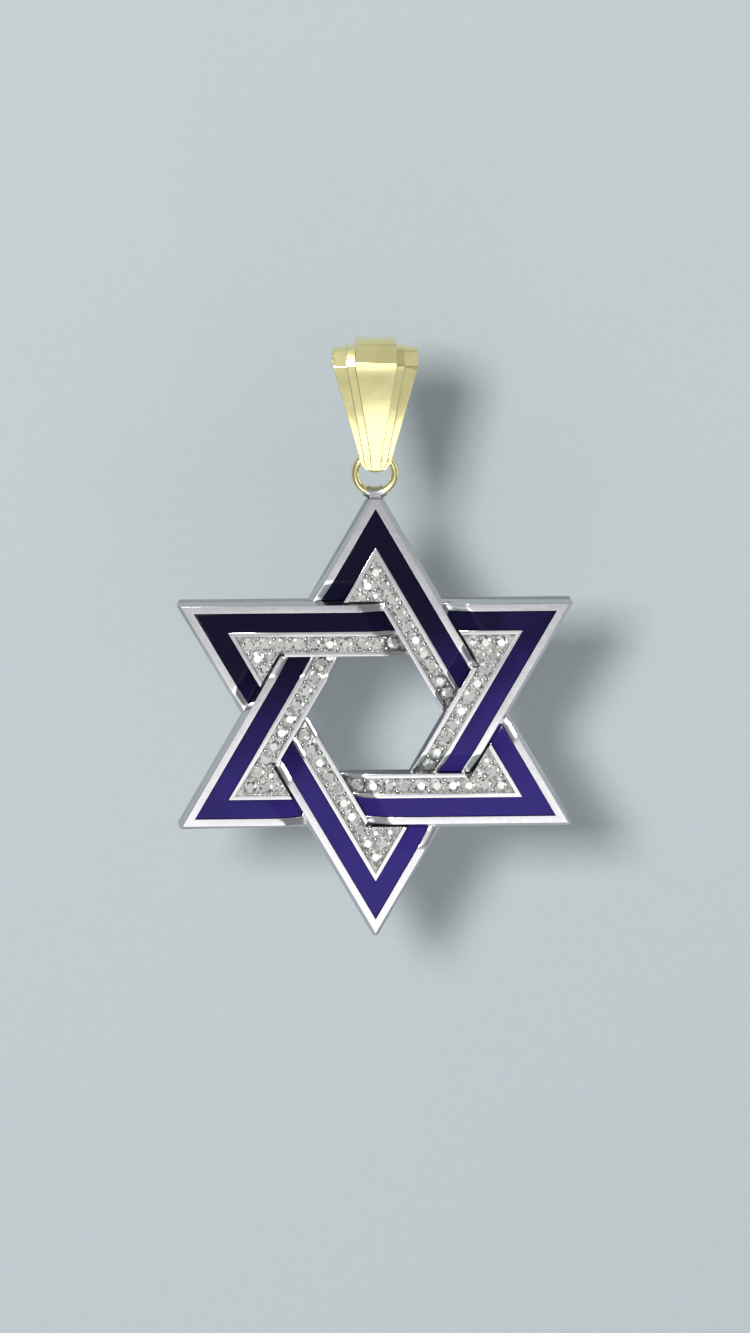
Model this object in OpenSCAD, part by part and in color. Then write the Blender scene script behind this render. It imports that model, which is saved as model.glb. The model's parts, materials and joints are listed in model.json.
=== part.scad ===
/* [Star] */
// Length of a side of each triangle, point to point
star_side = 32; // [28:0.5:40]
// Thickness of the star from front to back
star_t = 1.8; // [1.5:0.05:2.4]
// Length of the slope where a band dips under another
weave_slope = 1.8; // [1.2:0.1:2.4]
// Metal left between the enamel and the band that passes under it
weave_floor = 0.1; // [0.08:0.01:0.2]
// Share of the thickness, from the back, at which the star hangs level on its ring
balance = 0.426; // [0.4:0.002:0.45]
// How far each point of the star is blunted
tip_blunt = 0.35; // [0.1:0.05:0.6]

/* [Rims] */
// Width of the sloping outer edge
edge_w = 0.28; // [0.15:0.01:0.35]
// Height of the sloping outer edge
edge_h = 0.5; // [0.3:0.05:0.6]
// Width of the flat outer rim
rim_w = 0.6; // [0.45:0.05:0.75]
// Width of the ridge between the enamel and the stones
ridge_w = 0.36; // [0.3:0.01:0.45]
// Width of the rim along the inner side
inner_rim_w = 0.36; // [0.3:0.01:0.45]

/* [Enamel] */
// Width of the enamel
enamel_w = 1.55; // [1.3:0.05:1.7]
// Depth of the channel that holds the enamel
enamel_depth = 0.5; // [0.4:0.05:0.6]
// How far the enamel lies below the rims
enamel_sink = 0.05; // [0.02:0.01:0.1]

/* [Stones] */
// Diameter of a stone
stone_d = 1.1; // [0.9:0.05:1.15]
// Diameter of the small stones in the corners
small_stone_d = 0.7; // [0.55:0.05:0.75]
// Bed width left free on each side of a stone
bed_side = 0.09; // [0.05:0.01:0.14]
// Depth of the bed that the stones are set in
bed_depth = 0.22; // [0.15:0.01:0.28]
// Least distance between two stones
stone_gap = 0.15; // [0.12:0.01:0.25]
// Diameter of the drilling behind each stone
drill_d = 0.5; // [0.3:0.05:0.6]

/* [Jump ring] */
// Diameter of the ring's wire
wire_d = 0.65; // [0.5:0.05:0.75]
// Diameter of the ring along the middle of its wire
ring_d = 3.16; // [3:0.02:3.6]
// How far the ring's wire is let into the point of the star
tip_sink = 0.6; // [0.3:0.05:0.8]
// Wall of the collar round the wire
collar_wall = 0.13; // [0.1:0.01:0.2]
// Width of the collar along the wire
collar_w = 1.5; // [1:0.1:1.8]
// Width of the neck below the collar
neck_w = 0.95; // [0.7:0.05:1.1]

/* [Bail] */
// Height from the chain channel to the wire of the ring
bail_drop = 7.15; // [6.5:0.05:9]
// Width across the top
bail_top_w = 6.72; // [6:0.02:8]
// Width at the height of the ring's wire
bail_foot_w = 2.6; // [2.4:0.02:3]
// Width of the solid tongue that closes the foot of the bail inside the ring
tongue_w = 1.72; // [1.4:0.02:1.8]
// Length of the tongue below the ring's wire
tongue_h = 1.35; // [1.2:0.05:1.5]
// Thickness of the outer flutes at the height of the ring's wire
foot_wall = 0.52; // [0.4:0.02:0.6]
// Diameter of the chain channel
channel_d = 1.9; // [1.6:0.1:2.4]
// Thickness of the outer flutes
bail_wall = 0.42; // [0.3:0.02:0.6]
// Height of the step up to the inner flutes
inner_step = 0.16; // [0.1:0.02:0.4]
// Width across the inner flutes at the top
inner_top_w = 4.6; // [4:0.1:5.4]
// Width across the inner flutes at the height of the wire
inner_foot_w = 1.86; // [1.6:0.02:2.2]
// Height of the step up to the middle flute
middle_step = 0.55; // [0.15:0.05:0.7]
// Width of the middle flute at the top
middle_top_w = 3.24; // [2.6:0.02:3.6]
// Width of the middle flute at the height of the wire
middle_foot_w = 0.76; // [0.6:0.02:1.2]

/* [Clearances] */
// Gap round each enamel filling
enamel_gap = 0.02; // [0.01:0.005:0.03]
// Gap between a stone and its seat
seat_gap = 0.02; // [0.01:0.005:0.03]
// Gap between the collar and the ring
collar_gap = 0.02; // [0.01:0.005:0.04]
// Room round the wire inside the foot of the bail
swing_gap = 0.1; // [0.06:0.01:0.2]
// Angle to each side that the foot of the bail leaves free for the ring
swing_angle = 30; // [20:1:32]

/* [Hidden] */

// Angles of the normals of the sides that one arm meets. The arm runs round the point between SIDE and SHORT
SIDE = 90;
SHORT = 210;
NEAR = 150;
FAR = 30;
// Turn from the arm at the upper left point to each other arm
TURN_UPPER_LEFT = 0;
TURN_TOP = -60;
TURN_UPPER_RIGHT = -120;
TURN_LOWER_RIGHT = -180;
TURN_BOTTOM = -240;
TURN_LOWER_LEFT = -300;
TURNS = [TURN_UPPER_LEFT, TURN_TOP, TURN_UPPER_RIGHT, TURN_LOWER_RIGHT, TURN_BOTTOM, TURN_LOWER_LEFT];

// Distances from the centre of the star to the lines of a band
pave_w = stone_d + 2 * bed_side;
band_w = edge_w + rim_w + enamel_w + ridge_w + pave_w + inner_rim_w;
r_out = star_side / (2 * sqrt(3));
r_in = r_out - band_w;
r_mid = (r_out + r_in) / 2;
enamel_out = r_out - edge_w - rim_w;
enamel_in = enamel_out - enamel_w;
pave_out = enamel_in - ridge_w;
pave_in = pave_out - pave_w;
pave_mid = (pave_out + pave_in) / 2;
point_r = 2 * r_out;

// Heights above the lowest face of the star
weave_dip = enamel_depth + weave_floor;
front_z = star_t;
// Overlap of joined solids, and reach of cuts past a face
lap = 0.05;
under_lap = 0.3;
reach = 1;
far_reach = 60;
SLOPE_STEPS = 4;

// Stones
stone_r = stone_d / 2;
small_r = small_stone_d / 2;
CROWN = 0.15;
GIRDLE = 0.04;
PAVILION = 0.42;
TABLE = 0.58;
set_margin = 0.08;
seat_room = 0.06;
seat_depth = PAVILION * stone_d + seat_room;
seat_cone = 0.1;
girdle_lift = 0.03;
slope_sample = 0.1;

// Ring, measured from the centre of the star
ring_r = ring_d / 2;
wire_r = wire_d / 2;
ring_y = point_r - tip_sink + ring_r;
collar_r = wire_r + collar_gap + collar_wall;
neck_h = 0.5;
neck_top = ring_y - ring_r;
neck_foot = neck_top - collar_r - neck_h;
// Distance from the lowest face of the star to the plane of the ring
ring_z = star_t * balance;

// Bail. The ring's arc sinks by arc_sag from its top to the edge of the tongue
channel_r = channel_d / 2;
arc_height = sqrt(ring_r * ring_r - tongue_w * tongue_w / 4);
arc_sag = ring_r - arc_height + wire_r * (ring_r / arc_height - 1);
slot_r = wire_r + swing_gap + arc_sag;
side_r = channel_r + bail_wall;
foot_depth = slot_r + foot_wall;
// Half the width of the ring's room at the height of its wire, and far below it
swing_top = (wire_r + swing_gap) / cos(swing_angle);
swing_foot = swing_top + far_reach * tan(swing_angle);
// Height below the chain channel where the fold becomes the straight leaf
fold_drop = 0.05;
// Fold of a flute, as shares of its height over the channel: [forwards, upwards]
FOLD = [[0.42, 1], [0.78, 0.86]];
// Height of the crease under the fold, as a share of how far the flute stands proud
CREASE_RISE = 0.57;
// Foot of a flute, as shares of its depth and of the tongue's height: [forwards, downwards]
FOOT = [[1, 0.84], [0.95, 0.94], [0.86, 1]];
// Share of a flute's step that is left at the foot
STEP_AT_FOOT = 0.25;
// Angle between the points of the tongue's round end
TONGUE_STEP = 15;

// Point where the line at distance da along angle a meets the line at distance db along angle b
function meet(a, da, b, db) = let (s = sin(b - a))
    [(da * sin(b) - db * sin(a)) / s, (db * cos(a) - da * cos(b)) / s];

// Smooth step from 0 to 1
function ease(t) = t * t * (3 - 2 * t);
function clamp01(t) = min(1, max(0, t));

// Prism whose section is drawn with x measured along the angle a and y measured upwards
module prism(a, section) {
    rotate([0, 0, a]) translate([0, far_reach / 2, 0]) rotate([90, 0, 0])
        linear_extrude(far_reach) polygon(section);
}

// Section of a cut whose floor starts at height top at x0 and has dipped by weave_dip at x1
function dip_section(x0, x1, top) = concat(
    [for (i = [0:SLOPE_STEPS]) let (t = i / SLOPE_STEPS) [x0 + (x1 - x0) * t, top - weave_dip * ease(t)]],
    [[x1 + sign(x1 - x0) * far_reach, top - weave_dip], [x1 + sign(x1 - x0) * far_reach, top + 3 * reach]],
    [[x0, top + 3 * reach]]
);

// Cut that makes the long leg dip towards the band that passes over its end
module long_dip(depth) {
    prism(FAR, dip_section(r_in - weave_slope, r_in, front_z - depth));
}

// Cut that makes the rim and the enamel of the short leg dip towards the band that passes over it
module short_dip(depth) {
    intersection() {
        prism(NEAR, dip_section(r_out + weave_slope, r_out, front_z - depth));
        translate([0, 0, -reach]) linear_extrude(front_z + 4 * reach) polygon([
            meet(SHORT, r_out + reach, NEAR, r_out + weave_slope + reach),
            meet(SHORT, enamel_in, NEAR, r_out + weave_slope + reach),
            meet(SHORT, enamel_in, NEAR, r_out - lap), meet(SHORT, r_in - reach, NEAR, r_out - lap),
            meet(SHORT, r_in - reach, NEAR, r_mid), meet(SHORT, r_out + reach, NEAR, r_mid)
        ]);
    }
}

// Channel of the given depth below the front face, which dips with it
module channel(depth) {
    translate([0, 0, front_z - depth]) linear_extrude(depth + reach) children();
    intersection() {
        linear_extrude(front_z + reach) children();
        union() {
            long_dip(depth);
            short_dip(depth);
        }
    }
}

// Outline of an arm from its long leg round the point to its short leg, with both ends let into other arms
module arm_plan() {
    inner = 2 * r_in > r_out - lap
        ? [meet(SIDE, r_in, NEAR, r_out - lap), meet(SHORT, r_in, NEAR, r_out - lap)]
        : [meet(SIDE, r_in, SHORT, r_in)];
    polygon(concat(
        [meet(SIDE, r_out, NEAR, point_r - tip_blunt), meet(SIDE, r_out, FAR, r_in + under_lap)],
        [meet(SIDE, r_in, FAR, r_in + under_lap)],
        inner,
        [meet(SHORT, r_in, NEAR, r_out - under_lap), meet(SHORT, r_out, NEAR, r_out - under_lap)],
        [meet(SHORT, r_out, NEAR, point_r - tip_blunt)]
    ));
}

// Outline of the enamel, shrunk by gap at its sides and moved by end_gap at its two ends
module enamel_plan(gap, end_gap) {
    polygon([
        meet(SIDE, enamel_out - gap, SHORT, enamel_out - gap),
        meet(SIDE, enamel_out - gap, FAR, r_in - end_gap),
        meet(SIDE, enamel_in + gap, FAR, r_in - end_gap),
        meet(SIDE, enamel_in + gap, SHORT, enamel_in + gap),
        meet(SHORT, enamel_in + gap, NEAR, r_out + end_gap),
        meet(SHORT, enamel_out - gap, NEAR, r_out + end_gap)
    ]);
}

// Outline of the bed of the stones
module bed_plan() {
    polygon([
        meet(SIDE, pave_out, SHORT, pave_out),
        meet(SIDE, pave_out, FAR, r_in + 4 * lap),
        meet(SIDE, pave_in, FAR, r_in + 4 * lap),
        meet(SIDE, pave_in, NEAR, r_out - 2 * lap),
        meet(SHORT, pave_out, NEAR, r_out - 2 * lap)
    ]);
}

// Wedge that slopes the outer edge along one side
module edge_wedge(a) {
    prism(a, [
        [r_out - edge_w, front_z], [r_out, front_z - edge_h], [r_out + reach, front_z - edge_h],
        [r_out + reach, front_z + reach], [r_out - edge_w, front_z + reach]
    ]);
}

module arm() {
    difference() {
        linear_extrude(front_z) arm_plan();
        long_dip(0);
        short_dip(0);
        edge_wedge(SIDE);
        edge_wedge(SHORT);
        channel(enamel_depth) enamel_plan(0, -2 * under_lap);
        channel(bed_depth) bed_plan();
    }
}

// Rows of stones, each as [place in the plane, radius]
corner = meet(SIDE, pave_mid, SHORT, pave_mid);
row_end = meet(SIDE, pave_mid, FAR, r_in - stone_r - set_margin);
row_length = row_end[0] - corner[0];
row_count = floor(row_length / (stone_d + stone_gap));
pitch = row_length / row_count;
short_step = [cos(SHORT + 90), sin(SHORT + 90)];
small_step = stone_r + small_r + stone_gap;
axis_step = [cos(NEAR + 180), sin(NEAR + 180)];
function near_of(p) = p[0] * cos(NEAR) + p[1] * sin(NEAR);
function far_of(p) = p[0] * cos(FAR) + p[1] * sin(FAR);
function clear_of_band(s) = near_of(s[0]) - s[1] > r_out;
second = corner + pitch * short_step;
short_spots = [
    [second, stone_r],
    [second + small_step * short_step, small_r],
    [corner + (pitch * cos(30) + sqrt(small_step * small_step - pitch * pitch / 4)) * axis_step, small_r]
];
spots = concat(
    [for (i = [0:row_count]) [corner + [i * pitch, 0], stone_r]],
    [for (s = short_spots) if (clear_of_band(s)) s]
);

// How far the bed has dipped below a stone, and the slope there
function dip_at(p) = weave_dip * ease(clamp01((far_of(p) - r_in + weave_slope) / weave_slope));
function tilt_at(p) = let (step = slope_sample * [cos(FAR), sin(FAR)])
    atan((dip_at(p + step) - dip_at(p - step)) / (2 * slope_sample));

// Puts a child on the bed at a stone's place, leaning with the slope
module on_bed(s) {
    translate([s[0][0], s[0][1], front_z - bed_depth - dip_at(s[0])])
        rotate([0, 0, FAR]) rotate([0, tilt_at(s[0]), 0]) rotate([0, 0, -FAR]) children();
}

// Seat and drilling behind a stone
module seat(r) {
    depth = seat_depth * r / stone_r;
    bore = drill_d / 2 * r / stone_r;
    rotate_extrude($fn = 32) polygon([
        [0, reach / 2], [r - seat_gap, reach / 2], [r - seat_gap, -depth], [bore, -depth - seat_cone],
        [bore, -star_t - lap], [0, -star_t - lap]
    ]);
}

// Cut stone with a table, eight crown mains, eight star facets and a pointed pavilion
module stone(r) {
    n = 8;
    d = 2 * r;
    step = 360 / n;
    top = d * (GIRDLE + CROWN);
    table = [for (i = [0:n - 1]) [r * TABLE * cos(i * step), r * TABLE * sin(i * step), top]];
    upper = [for (i = [0:n - 1]) [r * cos((i + 0.5) * step), r * sin((i + 0.5) * step), d * GIRDLE]];
    lower = [for (i = [0:n - 1]) [r * cos((i + 0.5) * step), r * sin((i + 0.5) * step), 0]];
    translate([0, 0, girdle_lift]) polyhedron(
        concat(table, upper, lower, [[0, 0, -PAVILION * d]]),
        concat(
            [[for (i = [n - 1:-1:0]) i]],
            [for (i = [0:n - 1]) [i, (i + 1) % n, n + i]],
            [for (i = [0:n - 1]) [(i + 1) % n, n + (i + 1) % n, n + i]],
            [for (i = [0:n - 1]) [n + i, n + (i + 1) % n, 2 * n + (i + 1) % n, 2 * n + i]],
            [for (i = [0:n - 1]) [2 * n + i, 2 * n + (i + 1) % n, 3 * n]]
        )
    );
}

// Turns the star's own plane upright and hangs it below the ring
module hang() {
    translate([0, 0, -bail_drop - ring_r - ring_y]) rotate([90, 0, 0]) translate([0, 0, -ring_z]) children();
}

// Tube bent along the jump ring over the angle given, in the star's own plane
module ring_tube(r, from, angle) {
    translate([0, ring_y, ring_z]) rotate([0, 0, from])
        rotate_extrude(angle = angle, $fn = 48) translate([ring_r, 0]) circle(r, $fn = 24);
}

module star_frame() {
    collar_angle = 2 * asin(collar_w / 2 / ring_r);
    color("gainsboro") hang() difference() {
        union() {
            intersection() {
                union() for (t = TURNS) rotate([0, 0, t]) arm();
                translate([-far_reach, -far_reach, -reach])
                    cube([2 * far_reach, far_reach + neck_top - collar_r + lap, front_z + 2 * reach]);
            }
            translate([-neck_w / 2, neck_foot, ring_z - collar_r])
                cube([neck_w, neck_top - neck_foot, 2 * collar_r]);
            ring_tube(collar_r, 270 - collar_angle / 2, collar_angle);
        }
        ring_tube(wire_r + collar_gap, 0, 360);
        for (t = TURNS) rotate([0, 0, t]) for (s = spots) on_bed(s) seat(s[1]);
    }
}

module enamel(turn) {
    color("indigo") hang() rotate([0, 0, turn]) difference() {
        intersection() {
            linear_extrude(front_z - enamel_sink) enamel_plan(enamel_gap, enamel_gap);
            channel(enamel_depth - enamel_gap) enamel_plan(enamel_gap, enamel_gap);
        }
        long_dip(enamel_sink);
        short_dip(enamel_sink);
    }
}

module stones(turn) {
    color("lavender") hang() rotate([0, 0, turn]) for (s = spots) on_bed(s) stone(s[1]);
}

module jump_ring() {
    color("goldenrod") hang() ring_tube(wire_r, 0, 360);
}

// Outline with its left half mirrored from its right half
function mirrored(half) = concat(half, [for (i = [len(half) - 1:-1:0]) [-half[i][0], half[i][1]]]);

// Side view of the bail for a flute that stands proud by step, with x forwards and y upwards
module bail_side(step) {
    top = side_r + step;
    foot = foot_depth + step * STEP_AT_FOOT;
    polygon(mirrored(concat(
        [for (p = FOLD) [p[0] * top, p[1] * top]],
        [[top, step * CREASE_RISE]],
        [for (p = FOOT) [p[0] * foot, -bail_drop - p[1] * tongue_h]]
    )));
}

// Front view of the bail for flutes of the given widths at the top and at the height of the wire
module bail_front(top_w, foot_w) {
    polygon(mirrored(concat(
        [[top_w / 2, 2 * side_r + inner_step + middle_step], [top_w / 2, -fold_drop]],
        [for (a = [0:TONGUE_STEP:90]) [foot_w / 2 * cos(a) + lap, -bail_drop - tongue_h * sin(a)]]
    )));
}

module flute(top_w, foot_w, step) {
    intersection() {
        rotate([90, 0, 90]) linear_extrude(bail_top_w, center = true) bail_side(step);
        rotate([90, 0, 0]) linear_extrude(far_reach, center = true) bail_front(top_w, foot_w);
    }
}

module bail() {
    color("gold") difference() {
        union() {
            flute(bail_top_w, bail_foot_w, 0);
            flute(inner_top_w, inner_foot_w, inner_step);
            flute(middle_top_w, middle_foot_w, inner_step + middle_step);
        }
        // Hollow between the front and back leaves, from the chain channel down to the wire
        rotate([90, 0, 90]) linear_extrude(far_reach, center = true) polygon([
            [channel_r, 0], [slot_r, -bail_drop], [-slot_r, -bail_drop], [-channel_r, 0]
        ]);
        rotate([0, 90, 0]) cylinder(h = far_reach, r = channel_r, center = true, $fn = 64);
        translate([0, 0, -bail_drop]) {
            rotate([0, 90, 0]) cylinder(h = far_reach, r = slot_r, center = true, $fn = 48);
            // Room on both sides of the tongue, as far as the shoulders of the ring swing
            for (side = [-1, 1]) translate([side * (tongue_w + far_reach) / 2, 0, 0])
                rotate([90, 0, 90]) linear_extrude(far_reach, center = true) polygon([
                    [swing_top, 0], [swing_foot, -far_reach], [-swing_foot, -far_reach], [-swing_top, 0]
                ]);
        }
    }
}

bail();
jump_ring();
star_frame();
enamel(TURN_TOP);  // enamel_top
enamel(TURN_UPPER_RIGHT);  // enamel_upper_right
enamel(TURN_LOWER_RIGHT);  // enamel_lower_right
enamel(TURN_BOTTOM);  // enamel_bottom
enamel(TURN_LOWER_LEFT);  // enamel_lower_left
enamel(TURN_UPPER_LEFT);  // enamel_upper_left
stones(TURN_TOP);  // stones_top
stones(TURN_UPPER_RIGHT);  // stones_upper_right
stones(TURN_LOWER_RIGHT);  // stones_lower_right
stones(TURN_BOTTOM);  // stones_bottom
stones(TURN_LOWER_LEFT);  // stones_lower_left
stones(TURN_UPPER_LEFT);  // stones_upper_left
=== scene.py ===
"""Looks of the woven star pendant: metals, enamel, cut stones and the studio round them."""

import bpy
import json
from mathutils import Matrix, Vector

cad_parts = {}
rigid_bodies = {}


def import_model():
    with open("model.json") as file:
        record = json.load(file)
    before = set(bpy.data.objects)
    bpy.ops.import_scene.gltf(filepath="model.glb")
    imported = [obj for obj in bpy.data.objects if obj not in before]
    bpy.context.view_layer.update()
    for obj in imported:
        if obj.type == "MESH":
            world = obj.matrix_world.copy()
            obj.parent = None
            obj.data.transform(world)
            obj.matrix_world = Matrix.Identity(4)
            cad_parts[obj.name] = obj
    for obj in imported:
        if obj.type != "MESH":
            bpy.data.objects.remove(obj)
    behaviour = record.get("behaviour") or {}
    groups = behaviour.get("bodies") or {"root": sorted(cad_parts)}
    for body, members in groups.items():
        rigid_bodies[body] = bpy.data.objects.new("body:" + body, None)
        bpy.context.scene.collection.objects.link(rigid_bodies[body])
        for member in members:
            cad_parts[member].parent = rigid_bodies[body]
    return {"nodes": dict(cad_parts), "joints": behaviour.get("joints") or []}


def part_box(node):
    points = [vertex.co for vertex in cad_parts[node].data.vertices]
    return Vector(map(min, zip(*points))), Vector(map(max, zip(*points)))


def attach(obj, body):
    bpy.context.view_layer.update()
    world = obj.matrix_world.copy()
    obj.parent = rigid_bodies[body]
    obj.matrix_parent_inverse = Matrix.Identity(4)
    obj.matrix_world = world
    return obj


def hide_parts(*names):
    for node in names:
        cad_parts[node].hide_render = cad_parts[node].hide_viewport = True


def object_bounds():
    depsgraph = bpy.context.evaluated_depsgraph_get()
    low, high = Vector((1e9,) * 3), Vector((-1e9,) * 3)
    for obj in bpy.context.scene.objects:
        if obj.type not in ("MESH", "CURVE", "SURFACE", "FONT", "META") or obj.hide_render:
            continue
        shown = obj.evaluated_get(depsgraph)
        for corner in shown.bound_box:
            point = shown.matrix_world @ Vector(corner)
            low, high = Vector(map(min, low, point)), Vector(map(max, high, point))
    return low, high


bl_info = {
    "name": "Woven Star Pendant",
    "version": (1, 0, 0),
    "blender": (4, 5, 0),
    "location": "3D View > Sidebar > Pendant",
    "description": "Dresses the packed pendant with polished gold, fired enamel and cut stones",
    "category": "Object",
}

import json
import math
import random

import bmesh
import bpy
import numpy as np
from bpy.props import FloatProperty, FloatVectorProperty, IntProperty, PointerProperty
from mathutils import Matrix, Vector

for leftover in list(bpy.data.objects):
    bpy.data.objects.remove(leftover)
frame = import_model()
cad_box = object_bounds()

MM = 0.001
POINTS = ["top", "upper_right", "lower_right", "bottom", "lower_left", "upper_left"]
HINGE = Vector(next(j for j in frame["joints"] if j["name"] == "star_swing")["pos_m"])
BAIL_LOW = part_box("bail")[0]
STAR_LOW, STAR_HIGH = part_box("star_frame")


# Settings

def millimetres(name, description, value, low, high):
    """A length in metres that is given here in millimetres."""
    return FloatProperty(
        name=name, description=description, default=value * MM, min=low * MM, max=high * MM,
        unit="LENGTH", subtype="DISTANCE", precision=5,
    )


def share(name, description, value, low=0.0, high=1.0):
    return FloatProperty(
        name=name, description=description, default=value, min=low, max=high, subtype="FACTOR"
    )


def number(name, description, value, low, high):
    return FloatProperty(name=name, description=description, default=value, min=low, max=high)


def degrees(name, description, value, low, high):
    """An angle in radians that is given here in degrees."""
    return FloatProperty(
        name=name, description=description, default=math.radians(value),
        min=math.radians(low), max=math.radians(high), subtype="ANGLE",
    )


def colour(name, description, value):
    return FloatVectorProperty(
        name=name, description=description, default=value, min=0.0, max=1.0, size=3, subtype="COLOR"
    )


class MetalSettings(bpy.types.PropertyGroup):
    """Finish of the two golds, with the painted shade of the white gold."""

    white: colour("White gold", "Colour of the white gold at the foot of the star", (0.66, 0.65, 0.66))
    # Painted shade: the top colour is the white gold made darker, as where less light falls.
    shaded_white_top: colour(
        "White gold, high", "Colour of the white gold at the top point", (0.61, 0.605, 0.62)
    )
    yellow: colour("Yellow gold", "Colour of the polished yellow gold", (0.93, 0.85, 0.43))
    yellow_deep: colour(
        "Yellow gold, deep", "Colour of the deeper patches of the yellow gold", (0.76, 0.66, 0.28)
    )
    white_roughness: share("White gold roughness", "Roughness of the star and the beads", 0.17)
    yellow_roughness: share("Yellow gold roughness", "Roughness of the bail and ring", 0.15)
    # Painted shade: how far the star's upright walls are darkened towards near black.
    painted_wall_shade: share("Side walls", "How much duller the star's upright walls are than its face", 0.6)
    # Partly the cut metal's own colour and partly painted shade between the stones.
    bed: colour("Stone bed", "Colour of the cut metal between the stones", (0.46, 0.46, 0.43))
    frame_edge: millimetres("Rim edge", "Width of the softened edges of the star", 0.035, 0.01, 0.06)
    bed_edge: millimetres("Bed edge", "Width of the bright cut along the beds", 0.06, 0.01, 0.09)
    side_reach: millimetres(
        "Band outside", "Distance from the star's middle to a band's outer side", 9.2376, 8, 12
    )
    band_foot: millimetres(
        "Band inside", "Distance from the star's middle to a band's inner side", 4.8076, 4, 6
    )
    point_cut: millimetres("Blunt point", "How far each point of the star is blunted", 0.35, 0.1, 0.6)
    slant: millimetres("Slanted edge", "Width of the slanted outer edge", 0.28, 0.15, 0.35)
    slant_depth: millimetres("Slanted edge depth", "Depth of the slanted outer edge", 0.5, 0.3, 0.6)
    dip: millimetres("Dip", "How far a band dips under another", 0.6, 0.4, 0.8)
    dip_run: millimetres("Dip length", "Length of the slope of a dip", 1.8, 1.2, 2.4)
    bail_edge: millimetres("Bail edge", "Width of the softened edges of the bail", 0.035, 0.02, 0.12)
    bail_swell: millimetres("Bail swell", "Strength of the outward curve of the leaves", 0.42, 0.0, 0.6)


class EnamelSettings(bpy.types.PropertyGroup):
    """Colour and surface of the enamel, with its painted light and shade."""

    # Painted light: the enamel is painted vivid low on the star, as lit, and near black high on it, as
    # shaded.
    vivid: colour("Low", "Colour of the enamel at the bottom of the star", (0.029, 0.019, 0.15))
    dark: colour("High", "Colour of the enamel at the top of the star", (0.0045, 0.004, 0.016))
    lit_height: millimetres("Low height", "Height below which the enamel is vivid", -39, -50, -30)
    shaded_height: millimetres("High height", "Height above which the enamel is dark", -20, -30, -10)
    shade_lean: share("Fade lean", "How much lower the fade lies on the left, as a slope", 0.3)
    roughness: share("Roughness", "Roughness of the fired surface", 0.12)
    edge: millimetres("Edge", "Width of the rounded edge of the fired enamel", 0.07, 0.02, 0.12)


class StoneSettings(bpy.types.PropertyGroup):
    """Cut of the stones and the beads that hold them, as shares of a stone's radius."""

    table: share("Table", "Radius of the table", 0.56, 0.5, 0.65)
    crown: share("Crown", "Height of the crown", 0.30, 0.2, 0.34)
    girdle: share("Girdle", "Height of the girdle", 0.08, 0.02, 0.1)
    pavilion: share("Pavilion", "Depth of the pavilion", 0.84, 0.78, 0.9)
    # The body colour is the bright end of the painted light on the facets.
    body: colour("Body", "Colour of the stones", (0.93, 0.95, 0.88))
    bead: millimetres("Bead", "Radius of a setting bead", 0.17, 0.1, 0.2)
    bead_side: millimetres("Bead offset", "Distance of a bead from the row's middle", 0.43, 0.3, 0.5)
    bead_reach: millimetres(
        "Bead reach", "Longest distance between two stones that share beads", 1.45, 1.0, 1.6
    )


class StageSettings(bpy.types.PropertyGroup):
    """Camera, lights and backdrop."""

    azimuth: degrees("Azimuth", "Camera turned round the pendant from straight ahead", -3.0, -30, 30)
    elevation: degrees("Elevation", "Camera height above the horizon", 11.0, 0, 30)
    lens: number("Lens", "Focal length in millimetres", 180.0, 50.0, 300.0)
    frame_height: millimetres("Frame height", "Height of the picture at the pendant", 106.5, 80, 140)
    shift: millimetres("Shift", "How far the picture's middle lies below the pendant's", 2.25, 0, 10)
    backdrop: colour("Backdrop", "Colour of the floor and the backdrop", (0.44, 0.485, 0.50))
    wall: millimetres("Wall", "Distance of the backdrop behind the pendant", 28.0, 26, 300)
    floor: millimetres("Floor", "Depth of the floor below the chain", 450.0, 100, 600)
    key: number("Key light", "Watts of the light beside the camera, for the shadow", 2.6, 0.0, 50.0)
    sky: number("Upper light", "Watts of the large light at the upper left", 0.5, 0.0, 50.0)
    card: number("Front card", "Watts of the dim card that the upper rims mirror", 0.058, 0.0, 50.0)
    high: number("High card", "Watts of the dim card that the bail's fold mirrors", 0.05, 0.0, 50.0)
    fill: number("Lower light", "Watts of the wide light at the lower front", 0.68, 0.0, 50.0)
    side: number("Side light", "Watts of the strip at the right", 0.25, 0.0, 50.0)
    world: number("Room light", "Strength of the light from all round", 0.45, 0.0, 5.0)
    room: colour("Room colour", "Colour of the light from all round", (0.62, 0.64, 0.68))
    seed: IntProperty(name="Seed", description="Start of every random choice", default=7, min=0)


# Modelling helpers

def deselect():
    """Goes into object mode with nothing selected."""
    if bpy.context.mode != "OBJECT":
        bpy.ops.object.mode_set(mode="OBJECT")
    bpy.ops.object.select_all(action="DESELECT")


def take(*objects):
    """Selects only these objects, the first of them active."""
    deselect()
    for o in objects:
        o.select_set(True)
    bpy.context.view_layer.objects.active = objects[0]


def edit(obj, kind="VERT"):
    """Goes into edit mode on obj with everything selected."""
    take(obj)
    bpy.ops.object.mode_set(mode="EDIT")
    bpy.ops.mesh.select_mode(type=kind)
    bpy.ops.mesh.select_all(action="SELECT")


def leave():
    """Goes back into object mode, which brings the mesh data up to date."""
    bpy.ops.object.mode_set(mode="OBJECT")


def choose(obj, kind, wanted):
    """Goes into edit mode with only the edges or faces selected for which wanted says so."""
    edit(obj, kind)
    bpy.ops.mesh.select_all(action="DESELECT")
    leave()
    for item in obj.data.edges if kind == "EDGE" else obj.data.polygons:
        item.select = wanted(item)
    bpy.ops.object.mode_set(mode="EDIT")


def settle(obj):
    """Puts the object's place, turn and size into its mesh."""
    take(obj)
    bpy.ops.object.transform_apply(location=True, rotation=True, scale=True)


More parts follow.
